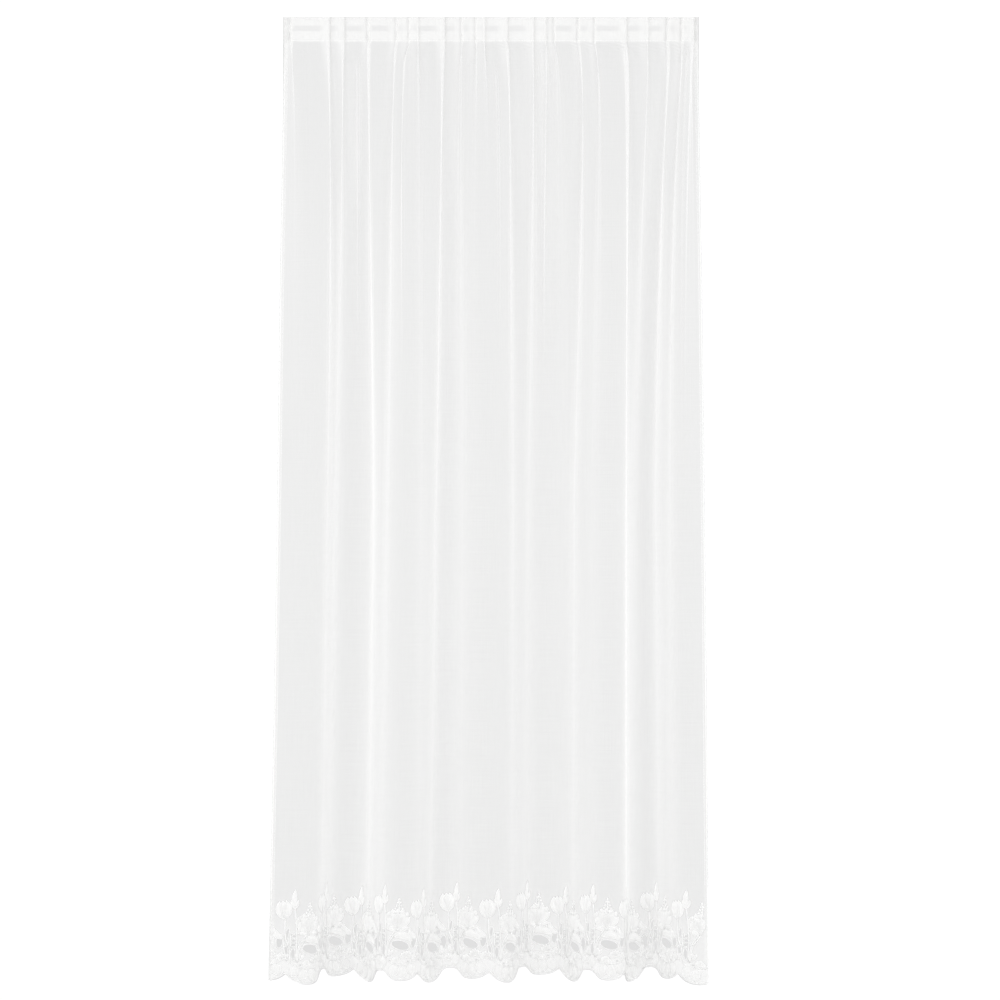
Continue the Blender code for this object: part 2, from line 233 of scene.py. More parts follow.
# Stems from the flower down, as pairs of how far beside the scallop's middle and above its lowest point
STEMS = (
    ((-0.061, 0.168), (-0.0605, 0.134), (-0.057, 0.110), (-0.0505, 0.095), (-0.047, 0.058)),
    ((-0.037, 0.198), (-0.033, 0.160), (-0.0312, 0.126), (-0.0312, 0.096), (-0.0325, 0.058)),
    ((0.000, 0.126), (-0.011, 0.111), (-0.021, 0.097), (-0.026, 0.078), (-0.0275, 0.056)),
    ((-0.004, 0.126), (-0.015, 0.113), (-0.0245, 0.098), (-0.029, 0.078), (-0.030, 0.056)),
    ((-0.0462, 0.128), (-0.0465, 0.110), (-0.0463, 0.094)),
    ((-0.066, 0.118), (-0.0636, 0.098), (-0.061, 0.080), (-0.056, 0.060)),
    ((0.003, 0.168), (0.003, 0.186), (0.0025, 0.206)),
)

# The ladder of bars between two of the stems
BARS = (0.0945, 0.1055, 0.1165, 0.1280)
BAR_LEFT = -0.0463
BAR_RIGHT = -0.0312
BAR_POINTS = 4

# Round knots of the berry spike over each rose, in the same pairs
BERRIES = (
    (-0.006, 0.180), (0.003, 0.182), (0.012, 0.180), (-0.003, 0.188),
    (0.008, 0.188), (0.000, 0.196), (0.006, 0.196), (0.003, 0.204),
)
BERRY = 0.0058
BERRY_HEIGHT = 0.3 * BERRY
BERRY_MARGIN = 0.012

# Petals on the scalloped edge and leaves along the vine, both measured up from the hem's edge
BAND_LEAVES = 4
BAND_STEP = 0.0290
EDGE_LEAF = Leaf(0.0, 0.0060, 0.0330, 0.0250, 0, 0.0, 0.52)
VINE_LEAF = Leaf(0.0, 0.0400, 0.0250, 0.0130, 40, 0.12, 0.45)
BAND_LEAN = -40
SLOPE_SPAN = 0.008

# How far above the hem's edge the close lace and the half close ground reach, and how softly they end
LACE_GROUND = 0.058
LACE_FADE = 0.008
WORKED_GROUND = 0.17
WORKED_FADE = 0.06
WORKED_SHARE = 0.50

# Petals and leaves: how full their outline is, how each one lies on the one before, and where they stop
LEAF_FULLNESS = 0.75
RIB_FULL = 0.62
LAYER_LIFT = 0.4
LAST_LAYER = 4
LEAF_MARGIN = 0.004
HEM_ALLOWANCE = 0.001
THREAD_LIFT = 0.0002

# Cords: their thickness as shares of the cord radius, and how they are laid
RIM_CORD = 0.8
STEM_CORD = 1.9
BAR_CORD = 1.2
GAP_CORD = 1.15
CORD_FLATNESS = 0.6
CORD_END = 0.35
CORD_MARGIN = 0.006

# The three cords along the hem: on its edge, just inside it and the vine
EDGE_CORD = 1.2
EDGE_LIFT = 0.0003
INNER_CORD = 0.8
INNER_RISE = 0.0048
INNER_LIFT = 0.0005
VINE_RISE = 0.0400
VINE_LIFT = 0.0004
HEM_CORD_END = 0.002
HEM_CORD_STEP = 0.0025

# Sewn stitches: their size, and where their rows lie
STITCH_WIDTH = 0.00045
STITCH_HEIGHT = 0.0002
STITCH_MARGIN = 0.006
TAPE_STITCHES = (0.0035, HEADING - 0.0025)
SIDE_STITCHES = SIDE_HEM - 0.002
SIDE_STITCHES_TOP = HEADING + 0.004

# Threads of the close lace and of the tape, from one to the next
MESH_PITCH = 0.0042
RIB_PITCH = 0.0016
ROW_PITCH = 0.0009
BAND_FADE = 0.001

# How close the uneven places of the threads lie, in the two flat directions of each piece, per metre
UPRIGHT_SLUBS = (700.0, 9.0)
LEVEL_SLUBS = (9.0, 700.0)
NET_CLOUDS = (14.0, 5.0)
TAPE_SLUBS = (300.0, 60.0)
FILLING_CLOUDS = (500.0, 160.0)
CORD_CLOUDS = (240.0, 900.0)

# How far the rows of satin thread and the turns of a cord run aslant
SATIN_SLANT = 0.55
TWIST_SLANT = 0.8

# Mesh sizes
COLUMNS = 600
TAPE_ROWS = 12
WIDEST_STEP = 0.006
CREASE_STEP = 0.0012
SHARPEST_TURN = 0.28
BORDER_STEP = 0.0085
ROW_START = 0.75
ROW_SHIFT = 0.5
HEM_STEP = 0.003
EDGE_CLEARANCE = 0.004
GAP_CLEARANCE = 0.003
LEAF_STEPS = 8
LEAF_LANES = 4
CORD_SIDES = 5
CURVE_STEPS = 4
KNOT_SIDES = 8
KNOT_RINGS = 5
KNOT_CUT = 0.2
SAME_POINT = 1e-7
WELD_DISTANCE = 1e-6
NO_LENGTH = 1e-9

# Heights where the folds are worked out, and the rows of the plain net: start, end and count
FOLD_LEVELS = ((0.0, 0.03, 2), (HEADING, 0.20, 16), (0.22, 0.60, 20), (0.65, DROP, 37))
NET_LEVELS = ((0.0, HEADING, 8), (HEADING, 0.30, 28), (0.30, 0.80, 29), (0.80, BORDER_TOP, 47))

# Places across the flat cloth. The last column is the last that still has a place to its right.
LINE = np.linspace(0.0, FLAT_WIDTH, 1551)
LINE_STEP = LINE[1] - LINE[0]
LAST_COLUMN = len(LINE) - 1.001

# The fit of the folds to the hung width: the least and the most they turn, and how often it is halved
FIT_LOW = 0.6
FIT_HIGH = 3.5
FIT_STEPS = 40

# The least share of a thread's width that shows when the net is seen edge on
EDGE_ON = 0.16

# The boards behind the curtain. The grey one is the curtain's painted shadow on the backdrop: it follows the
# curtain's outline, a little narrower and lower at the top.
SQUARE = ((-1, -1), (1, -1), (1, 1), (-1, 1))
WHITE_MARGIN = 1.03
WHITE_GLOW = 1.05
SHADOW_BOARD_IN_FRONT = 0.05
SHADOW_BOARD_WIDTH = 0.992
SHADOW_BOARD_TOP = 0.0015
OUTLINE_ROWS = 120
OUTLINE_POINTS = 3000
OUTLINE_STEPS = 420

# The soft lights: degrees from the front, whose power they take and their share of it
LIGHTS = (
    ("front_left_light", -34, "front_power", 1.05),
    ("front_right_light", 32, "front_power", 1.0),
    ("left_light", -84, "side_power", 1.0),
    ("right_light", 84, "side_power", 1.0),
    ("back_left_light", -130, "back_power", 1.0),
    ("back_right_light", 130, "back_power", 1.0),
)
LIGHT_WIDTH = 2.0
LIGHT_HEIGHT = 2.9
SENSOR_WIDTH = 36.0
FAR_CLIP = 100.0
FLOOR_SHADE = 0.985

# How often light may pass through layers of net, and from one to another
TRANSPARENT_BOUNCES = 48
DIFFUSE_BOUNCES = 8


# The folds of the cloth


def heights_of(levels):
    """All the heights of a table of levels, each one once."""
    return np.unique(np.concatenate([np.linspace(*level) for level in levels]))


def points_of(*parts):
    """Points from their coordinates, each of which is an array or one number."""
    return np.stack(np.broadcast_arrays(*parts), axis=-1)


def bend_length(down):
    """How much cloth one bend takes at this height."""
    loose = max(down - HEADING, 0.0)
    whole = (DROP - HEADING + BEND_EASE) ** BEND_POWER - BEND_EASE**BEND_POWER
    share = ((loose + BEND_EASE) ** BEND_POWER - BEND_EASE**BEND_POWER) / whole
    return HEADING_BEND + (HEM_BEND - HEADING_BEND) * share


def cloth_angle(down):
    """The angle of the cloth at each place across it, before it is fitted to the hung width."""
    bend = bend_length(down)
    faded = min(1.0, max(down - HEADING, 0.0) / FADE_LENGTH) ** FADE_POWER
    angle = np.zeros_like(LINE)
    for fold in FOLDS:
        middle = fold.place + fold.walk * min(1.0, down / WALK_LENGTH)
        share = 1.0 + (fold.stay - 1.0) * faded
        starts = np.tanh((LINE - middle + fold.lap / 2) / bend)
        ends = np.tanh((LINE - middle - fold.lap / 2) / bend)
        angle += share * fold.turn * LAP_ANGLE * (starts - ends) / 2
    return angle


def running_sum(values):
    """The area under a line up to each of its places."""
    steps = (values[1:] + values[:-1]) / 2 * LINE_STEP
    return np.concatenate([[0.0], np.cumsum(steps)])


def fitted_angle(angle, wide):
    """Turns every fold by the same share more or less until the cloth spans this width."""
    low, high = FIT_LOW, FIT_HIGH
    for _ in range(FIT_STEPS):
        middle = (low + high) / 2
        if running_sum(np.cos(middle * angle))[-1] > wide:
            low = middle
        else:
            high = middle
    return low * angle


def slow_part(values):
    """The wide waves of a line, without its pleats."""
    half = int(LEVEL_WINDOW / 2 / LINE_STEP)
    window = np.hanning(2 * half + 1)
    longer = np.pad(values, half, mode="reflect", reflect_type="odd")
    return np.convolve(longer, window / window.sum(), "valid")


def section(down):
    """X, Y and angle of the cloth across one height."""
    downs, lefts, rights = zip(*EDGES)
    left = np.interp(down, downs, lefts)
    right = np.interp(down, downs, rights)
    angle = fitted_angle(cloth_angle(down), right - left)
    x = running_sum(np.cos(angle))
    y = running_sum(np.sin(angle))
    x = left + x * (right - left) / x[-1]
    y = y - y.mean() - (y[-1] - y[0]) * (LINE / FLAT_WIDTH - 0.5)
    held = 1.0 - min(1.0, max(down - HEADING, 0.0) / LEVEL_LENGTH)
    return x, y - held * slow_part(y), angle


def crease_share(crease, down):
    """How much of a crease is there at this height: it grows under the heading and fades slowly."""
    grown = np.clip((down - crease.start) / CREASE_GROWTH, 0.0, 1.0)
    left = np.clip((crease.end - down) / (crease.end - crease.start), 0.0, 1.0)
    return grown * np.sin(left * pi / 2) ** CREASE_FADE_POWER


def relief(across, down):
    """How far the creases and ripples stand out of the smooth folds."""
    out = np.zeros_like(across)
    for crease in CREASES:
        ridge = np.exp(-(((across - crease.place) / crease.width) ** 2))
        out += crease.height * crease_share(crease, down) * ridge
    loose = np.clip((down - HEADING) / RIPPLE_START, 0.0, 1.0)
    fade = np.exp(-np.maximum(down - HEADING, 0.0) / RIPPLE_LENGTH)
    for ripple in RIPPLES:
        out += ripple.height * loose * fade * np.sin(tau * across / ripple.pitch + ripple.start)
    return out


def pleat_share(across, down):
    """How much cloth is pressed together at this place of the heading, fading out below it."""
    pressed = np.exp(-((np.minimum(across, FLAT_WIDTH - across) / EDGE_PLEAT_WIDTH) ** 2))
    for fold in FOLDS:
        beside = (across - fold.place + PLEAT_SIDE) / PLEAT_WIDTH
        pressed = pressed + fold.lap / DEEPEST_LAP * np.exp(-(beside**2))
    below = np.maximum(down - HEADING, 0.0)
    return np.minimum(pressed, 1.0) * np.exp(-below / PLEAT_LENGTH)


class HungCloth:
    """The folds worked out at many heights, from which any point of the cloth can be placed."""

    def __init__(self):
        self.heights = heights_of(FOLD_LEVELS)
        found = [section(down) for down in self.heights]
        self.x, self.y, self.angle = (np.array(rows) for rows in zip(*found))

    def read(self, table, across, down):
        """One table's value at places between its heights and its columns."""
        row = np.clip(np.searchsorted(self.heights, down, side="right") - 1, 0, len(self.heights) - 2)
        start, end = self.heights[row], self.heights[row + 1]
        low = np.clip((down - start) / (end - start), 0.0, 1.0)
        column = np.clip(across / LINE_STEP, 0.0, LAST_COLUMN)
        left = column.astype(int)
        side = column - left
        upper = table[row, left] * (1 - side) + table[row, left + 1] * side
        lower = table[row + 1, left] * (1 - side) + table[row + 1, left + 1] * side
        return upper * (1 - low) + lower * low

    def place(self, spots):
        """Points of the room for rows of across, down and distance towards the front."""
        across, down, forward = np.array(spots, float).T
        x = self.read(self.x, across, down)
        y = self.read(self.y, across, down)
        angle = self.read(self.angle, across, down)
        forward = forward + relief(across, down)
        return points_of(x + forward * np.sin(angle), y - forward * np.cos(angle), -down)

    def columns(self, down):
        """Places across the cloth, closest together where it bends or is creased most."""
        level = np.full_like(LINE, down)
        angle = self.read(self.angle, LINE, level)
        crowding = 1 / WIDEST_STEP + np.abs(np.gradient(angle, LINE)) / SHARPEST_TURN
        for crease in CREASES:
            near = np.exp(-(((LINE - crease.place) / (2 * crease.width)) ** 2))
            crowding += crease_share(crease, down) * near / CREASE_STEP
        total = running_sum(crowding)
        places = np.interp(np.linspace(0.0, total[-1], COLUMNS), total, LINE)
        places[0], places[-1] = 0.0, FLAT_WIDTH
        return places


cloth = HungCloth()


# Gathering faces on the flat cloth and hanging them


def add_object(name, data):
    """Puts one object with this mesh, light or camera into the scene."""
    made = bpy.data.objects.new(name, data)
    bpy.context.scene.collection.objects.link(made)
    return made


class NeedleWork:
    """Faces laid on the flat cloth, which are then hung in the folds as one piece."""

    def __init__(self, context):
        self.sizes = context.scene.net_curtain_sizes
        self.spots = []
        self.patterns = []
        self.lace = []
        self.faces = []
        self.kinds = []
        self.count = 0

    def add(self, spots, patterns, faces, kind=0, lace=0.0):
        """Points with their places in the pattern, and faces that count from the first of these points."""
        spots = np.asarray(spots, float).reshape(-1, 3)
        self.spots.append(spots)
        self.patterns.append(np.asarray(patterns, float).reshape(-1, 2))
        self.lace.append(np.broadcast_to(lace, len(spots)))
        self.faces.extend(tuple(int(corner) + self.count for corner in face) for face in faces)
        self.kinds.extend([kind] * len(faces))
        self.count += len(spots)

    def add_grid(self, spots, patterns=None, kind=0, round_about=False, capped=False, lace=0.0):
        """Rows and columns of points, closed round its columns for a tube and capped at its ends."""
        patterns = spots[:, :, :2] if patterns is None else patterns
        rows, columns = spots.shape[:2]
        faces = []
        for row in range(rows - 1):
            for column in range(columns if round_about else columns - 1):
                here = row * columns + column
                beside = row * columns + (column + 1) % columns
                faces.append((here, here + columns, beside + columns, beside))
        if capped:
            last = (rows - 1) * columns
            faces.append(tuple(range(columns)))
            faces.append(tuple(last + column for column in reversed(range(columns))))
        self.add(spots, patterns, faces, kind, lace)

    def hang(self, name, materials):
        """Makes the piece, with its flat places as its UV map."""
        mesh = bpy.data.meshes.new(name)
        spots = np.concatenate(self.spots)
        places = cloth.place(spots)
        mesh.from_pydata(places.tolist(), [], self.faces)
        mesh.update()
        corners = np.empty(len(mesh.loops), dtype=np.int32)
        mesh.loops.foreach_get("vertex_index", corners)
        pattern = np.concatenate(self.patterns)[corners]
        mesh.uv_layers.new(name="UVMap").data.foreach_set("uv", pattern.astype(np.float32).ravel())
        shares = {"lace": np.concatenate(self.lace), "pleat": pleat_share(spots[:, 0], spots[:, 1])}
        for label, values in shares.items():
            attribute = mesh.attributes.new(label, "FLOAT", "POINT")
            attribute.data.foreach_set("value", values.astype(np.float32))
        mesh.polygons.foreach_set("material_index", self.kinds)
        mesh.polygons.foreach_set("use_smooth", [True] * len(mesh.polygons))
        for material in materials:
            mesh.materials.append(material)
        joined = bmesh.new()
        joined.from_mesh(mesh)
        bmesh.ops.remove_doubles(joined, verts=joined.verts, dist=WELD_DISTANCE)
        joined.to_mesh(mesh)
        joined.free()
        piece = add_object(name, mesh)
        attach(piece, "root")
        return piece


def hem_rise(across):
    """How far the hem's edge is above its lowest point, with its corners a little softened."""
    places, rises = zip(*HEM, (REPEAT, HEM[0][1]))
    shifts = HEM_SOFTENING * np.linspace(-1.0, 1.0, HEM_SAMPLES)
    total = 0.0
    for shift in shifts:
        along = (np.asarray(across) + shift - FIRST_SCALLOP) % REPEAT
        total = total + np.interp(along, places, rises)
    return total / len(shifts)


def scallops():
    """The middle of each scallop across the cloth, and how much higher its pattern sits."""
    for number in range(-1, round(FLAT_WIDTH / SCALLOP) + 2):
        yield FIRST_SCALLOP + number * SCALLOP, SHALLOW_RAISE * (number % 2)


def gap_ring(gap, across, down):
    """Points round one gap: a soft rectangle, or a rounded leaf."""
    turn = tau * np.arange(GAP_POINTS) / GAP_POINTS
    side, rise = np.sin(turn), np.cos(turn)
    if gap.sides == 4:
        squared = (side**4 + rise**4) ** -0.25
        side, rise = side * squared, rise * squared
    side, rise = side * gap.wide / 2, rise * gap.tall / 2
    lean = radians(gap.lean)
    sideways = side * cos(lean) + rise * sin(lean)
    upwards = rise * cos(lean) - side * sin(lean)
    return points_of(across + sideways, down - upwards)


def clear_of_sides(across, margin):
    """Whether places across the cloth are this far inside both of its side edges."""
    return (across > margin) & (across < FLAT_WIDTH - margin)


def lace_gaps():
    """The ring of points round each open gap of the lace."""
    rings = []
    for middle, raised in scallops():
        for gap in GAPS:
            across = middle + gap.along
            if clear_of_sides(across, gap.wide / 2 + GAP_FROM_EDGE):
                rings.append(gap_ring(gap, across, DROP - gap.up - raised))
    return rings


def inside(points, ring):
    """Which of these flat points lie inside a ring."""
    across, down = points.T
    found = np.zeros(len(points), bool)
    for (x1, y1), (x2, y2) in zip(ring, np.roll(ring, -1, axis=0)):
        if y1 != y2:
            crossing = (x2 - x1) * (down - y1) / (y2 - y1) + x1
            found ^= ((y1 > down) != (y2 > down)) & (across < crossing)
    return found


def outside(points, ring, margin):
    """Which of these flat points lie clear of a ring."""
    middle = ring.mean(axis=0)
    grown = middle + (ring - middle) * (1 + margin / np.abs(ring - middle).max(axis=0))
    return ~inside(points, grown)


def lace_ground(across, down):
    """How dense the net's ground is: plain above, and close lace towards the scallops."""
    high = DROP - down - hem_rise(across)
    worked = WORKED_SHARE * np.clip((WORKED_GROUND - high) / WORKED_FADE, 0.0, 1.0)
    return np.maximum(worked, np.clip((LACE_GROUND - high) / LACE_FADE, 0.0, 1.0))


def side_levels():
    """Heights down the side of the border."""
    lowest = DROP - float(hem_rise(0.0))
    return np.linspace(BORDER_TOP, lowest, int((lowest - BORDER_TOP) / BORDER_STEP))


def border_points(top_row):
    """The border's outline, its gaps and the points between them, every other row half a step along."""
    left = side_levels()
    right_end = DROP - float(hem_rise(FLAT_WIDTH))
    right = np.linspace(BORDER_TOP, right_end, len(left))
    edge = np.linspace(FLAT_WIDTH, 0.0, int(FLAT_WIDTH / HEM_STEP))
    top = points_of(top_row, BORDER_TOP)
    right_side = points_of(FLAT_WIDTH, right[1:-1])
    hem = points_of(edge, DROP - hem_rise(edge))
    left_side = points_of(0.0, left[-2:0:-1])
    outline = np.concatenate([top, right_side, hem, left_side])
    rings = lace_gaps()
    rows = []
    for number, down in enumerate(np.arange(BORDER_TOP + BORDER_STEP, DROP, BORDER_STEP)):
        start = BORDER_STEP * (ROW_START + ROW_SHIFT * (number % 2))
        across = np.arange(start, FLAT_WIDTH - BORDER_STEP / 2, BORDER_STEP)
        rows.append(points_of(across, down))
    between = np.concatenate(rows)
    between = between[between[:, 1] < DROP - hem_rise(between[:, 0]) - EDGE_CLEARANCE]
    for ring in rings:
        between = between[outside(between, ring, GAP_CLEARANCE)]
    return outline, rings, between


def add_border(work, top_row):
    """The lower part of the net, with its scalloped edge and its gaps cut through."""
    outline, rings, between = border_points(top_row)
    points = np.concatenate([outline] + rings + [between])
    edges = []
    start = 0
    for ring in [outline] + rings:
        numbers = list(range(start, start + len(ring)))
        edges.extend(zip(numbers, numbers[1:] + numbers[:1]))
        start += len(ring)
    found = delaunay_2d_cdt([tuple(point) for point in points], edges, [], 0, SAME_POINT)
    flat = np.array([tuple(corner) for corner in found[0]])
    faces = np.array(found[2])
    middles = flat[faces].mean(axis=1)
    kept = inside(middles, outline)
    for ring in rings:
        near = np.abs(middles - ring.mean(axis=0)).max(axis=1) < GAP_REACH
        kept[near] &= ~inside(middles[near], ring)
    across, down = flat.T
    work.add(points_of(across, down, 0.0), flat, faces[kept][:, ::-1], lace=lace_ground(across, down))


def add_side_hem(work, from_left):
    """The narrow strip of the net folded behind one side edge."""
    rows = np.concatenate([heights_of(NET_LEVELS), side_levels()[1:]])
    turned, behind = np.array(SIDE_FOLD).T
    across = turned if from_left else FLAT_WIDTH - turned
    spots = points_of(across, rows[:, None], -behind)
    if from_left:
        spots = spots[:, ::-1]
    work.add_grid(spots, lace=lace_ground(spots[:, :, 0], spots[:, :, 1]).ravel())


def leaf_lines(leaf, middle, raised):
    """The spine of one leaf on the flat cloth, its side direction and its half widths."""
    share = np.linspace(0.0, 1.0, LEAF_STEPS + 1)
    lean = radians(leaf.lean)
    ahead = np.array([sin(lean), -cos(lean)])
    left = np.array([-cos(lean), -sin(lean)])
    foot = np.array([middle + leaf.along, DROP - leaf.up - raised])
    bulge = 4 * leaf.bow * share * (1 - share)
    spine = foot + leaf.long * (share[:, None] * ahead + bulge[:, None] * left)
    peak = log(0.5) / log(leaf.full)
    half = leaf.wide / 2 * np.maximum(np.sin(pi * share**peak), 0.0) ** LEAF_FULLNESS
    return spine, left, half


def within_cloth(spots, margin=LEAF_MARGIN):
    """Whether all of these flat points lie inside the cloth's edges."""
    across, down = np.asarray(spots).reshape(-1, 2).T
    above_hem = down < DROP - hem_rise(across) + HEM_ALLOWANCE
    return bool(np.all(clear_of_sides(across, margin) & above_hem))


def add_leaf(work, leaf, middle, raised, layer=0):
    """One petal or leaf: a domed filling of thread with a cord round its edge."""
    spine, left, half = leaf_lines(leaf, middle, raised)
    lane = np.linspace(-1.0, 1.0, LEAF_LANES + 1)
    beside = half[:, None] * lane
    flat = spine[:, None, :] + beside[:, :, None] * left
    if not within_cloth(flat):
        return
    lift = work.sizes.lace_lift * (1 + LAYER_LIFT * layer)
    dome = work.sizes.lace_relief * (1 - lane**2) * (half / half.max())[:, None]
    along = np.linspace(0.0, leaf.long, LEAF_STEPS + 1)
    work.add_grid(points_of(flat[:, :, 0], flat[:, :, 1], lift + dome), points_of(along[:, None], beside))
    rim = np.concatenate([flat[:, -1], flat[-2:0:-1, 0], flat[:1, -1]])
    add_cord(work, rim, work.sizes.cord_radius * RIM_CORD, lift + THREAD_LIFT, closed=True)


def add_cord(work, path, radius, lift, closed=False):
    """A round cord along a path on the flat cloth, pinched at its ends if it is open."""
    path = np.asarray(path, float)
    if closed:
        ring = path[:-1]
        ahead = np.roll(ring, -1, axis=0) - np.roll(ring, 1, axis=0)
        ahead = np.concatenate([ahead, ahead[:1]])
    else:
        ahead = np.gradient(path, axis=0)
    ahead = ahead / np.maximum(np.linalg.norm(ahead, axis=1, keepdims=True), NO_LENGTH)
    left = points_of(ahead[:, 1], -ahead[:, 0])
    thick = np.full(len(path), radius)
    if not closed:
        thick[[0, -1]] *= CORD_END
    around = -tau * np.arange(CORD_SIDES) / CORD_SIDES
    flat = path[:, None, :] + (thick[:, None] * np.cos(around))[:, :, None] * left[:, None, :]
    forward = lift + CORD_FLATNESS * thick[:, None] * np.sin(around)
    spots = points_of(flat[:, :, 0], flat[:, :, 1], forward)
    steps = np.linalg.norm(np.diff(path, axis=0), axis=1)
    along = np.concatenate([[0.0], np.cumsum(steps)])
    pattern = points_of(along[:, None], -around * radius)
    work.add_grid(spots, pattern, kind=1, round_about=True, capped=not closed)


def hung_outline():
    """The outline of the hung curtain as seen from the front, as points of the room."""
    down = np.linspace(SHADOW_BOARD_TOP, DROP, OUTLINE_ROWS)
    sides = []
    for across in (0.0, FLAT_WIDTH):
        level = np.minimum(down, DROP - float(hem_rise(across)))
        sides.append(cloth.place(points_of(across, level, 0.0)))
    left, right = sides
    across = np.linspace(0.0, FLAT_WIDTH, OUTLINE_POINTS)
    edge = cloth.place(points_of(across, DROP - hem_rise(across), 0.0))
    steps = np.linspace(left[-1, 0], right[-1, 0], OUTLINE_STEPS)
    lowest = []
    for start, end in zip(steps, steps[1:]):
        here = edge[(edge[:, 0] >= start) & (edge[:, 0] < end)]
        if len(here):
            lowest.append(here[here[:, 2].argmin()])
    return np.concatenate([left[::-1], right, np.array(lowest)[::-1]])


def smooth_path(points):
    """A soft curve through a few points."""
    points = np.asarray(points, float)
    longer = np.concatenate([2 * points[:1] - points[1:2], points, 2 * points[-1:] - points[-2:-1]])
    found = []
    for before, start, end, after in zip(longer, longer[1:], longer[2:], longer[3:]):
        for share in np.arange(CURVE_STEPS) / CURVE_STEPS:
            curve = (2 * before - 5 * start + 4 * end - after) * share**2
            curve = curve + (3 * start - before - 3 * end + after) * share**3
            found.append(start + 0.5 * ((end - before) * share + curve))
    return np.array(found + [points[-1]])


# Small pieces that are modelled once and copied


def deselect_all():
    """Leaves nothing selected, because an operator acts on all that is, the solids too."""
    if bpy.context.object is not None and bpy.context.object.mode != "OBJECT":
        bpy.ops.object.mode_set(mode="OBJECT")
    bpy.ops.object.select_all(action="DESELECT")


def modelled_knot(long, wide, tall):
    """A ball of thread pulled to its size, with its back cut off flat, as points and faces."""
    deselect_all()
    bpy.ops.mesh.primitive_uv_sphere_add(segments=KNOT_SIDES, ring_count=KNOT_RINGS, radius=0.5)
    ball = bpy.context.object
    bpy.ops.object.mode_set(mode="EDIT")
    bpy.ops.mesh.select_all(action="SELECT")
    bpy.ops.transform.resize(value=(long, wide, 2 * tall))
    back = (0.0, 0.0, -KNOT_CUT * tall)
    bpy.ops.mesh.bisect(plane_co=back, plane_no=(0.0, 0.0, 1.0), use_fill=True, clear_inner=True)
    bpy.ops.object.mode_set(mode="OBJECT")
    points = np.array([tuple(vertex.co) for vertex in ball.data.vertices])
    faces = [tuple(face.vertices) for face in ball.data.polygons]
    mesh = ball.data
    bpy.data.objects.remove(ball)
    bpy.data.meshes.remove(mesh)
    return points, faces


def add_knot(work, knot, across, down, turn, lift, kind=0):
    """One copy of a knot on the flat cloth, turned to run along its row."""
    points, faces = knot
    sideways = points[:, 0] * cos(turn) - points[:, 1] * sin(turn)
    upwards = points[:, 0] * sin(turn) + points[:, 1] * cos(turn)
    spots = points_of(across + sideways, down - upwards, lift + points[:, 2])
    work.add(spots, points[:, :2], faces, kind)


# Materials


class Reading:
    """A value in a material that can be used in sums as a number is."""

    def __init__(self, paint, socket):
        self.paint = paint
        self.socket = socket

    def maths(self, operation, other=None, reflected=False):
        """One Math node on this value, with the other value in front of it if reflected."""
        pair = [self] if other is None else [other, self] if reflected else [self, other]
        return self.paint.node("ShaderNodeMath", {"operation": operation}, dict(enumerate(pair)))

    def __add__(self, other):
        return self.maths("ADD", other)

    def __radd__(self, other):
        return self.maths("ADD", other, reflected=True)

    def __sub__(self, other):
        return self.maths("SUBTRACT", other)

    def __rsub__(self, other):
        return self.maths("SUBTRACT", other, reflected=True)

    def __mul__(self, other):
        return self.maths("MULTIPLY", other)

    def __rmul__(self, other):
        return self.maths("MULTIPLY", other, reflected=True)

    def __truediv__(self, other):
        return self.maths("DIVIDE", other)

    def __rtruediv__(self, other):
        return self.maths("DIVIDE", other, reflected=True)

    def __pow__(self, other):
        return self.maths("POWER", other)

    def __rpow__(self, other):
        return self.maths("POWER", other, reflected=True)

    def __abs__(self):
        return self.maths("ABSOLUTE")

    def at_least(self, other):
        """This value, or the other one where that is larger."""
        return self.maths("MAXIMUM", other)

    def wave(self, pitch):
        """Even ridges of this pitch, from 0 between them to 1 on top."""
        return 0.5 + 0.5 * (self * (tau / pitch)).maths("SINE")


